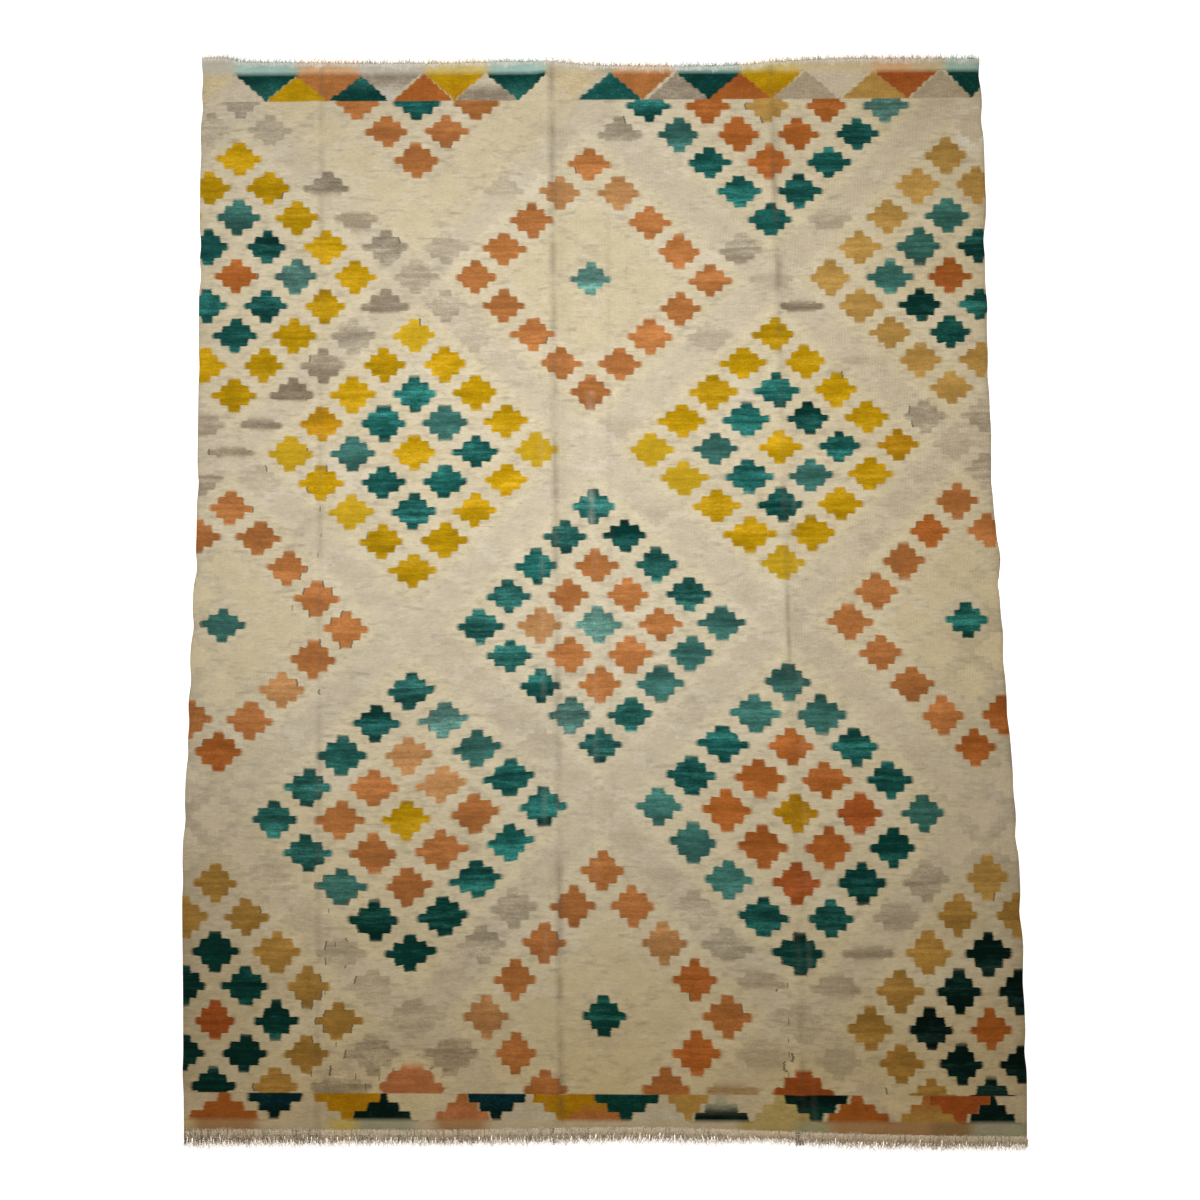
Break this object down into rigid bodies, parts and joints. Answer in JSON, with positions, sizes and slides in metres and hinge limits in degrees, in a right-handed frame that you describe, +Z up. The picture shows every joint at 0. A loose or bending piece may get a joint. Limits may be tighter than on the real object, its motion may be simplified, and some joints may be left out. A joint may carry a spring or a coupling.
{
  "type": "kilim rug",
  "caption": "Flat-woven wool kilim laid flat, with soft lengthways fold lines, leaning selvedges and a short warp fringe along its near end.",
  "frame": {"origin": "on the floor under the middle of the rug's whole outline, the fringe included", "axes": "+Z up from the floor, +Y along the warp away from the fringed end, +X to the right seen from above with the fringe nearest"},
  "size_m": [1.531, 2.0273, 0.0085],
  "materials": {
    "wool_weave": "matte slit-tapestry wool in teal, orange, yellow, tan and grey on cream",
    "cotton_fringe": "matte off-white twisted warp ends"
  },
  "bodies": {
    "root": {"field": "wool_weave", "fringe": "cotton_fringe"}
  },
  "joints": []
}
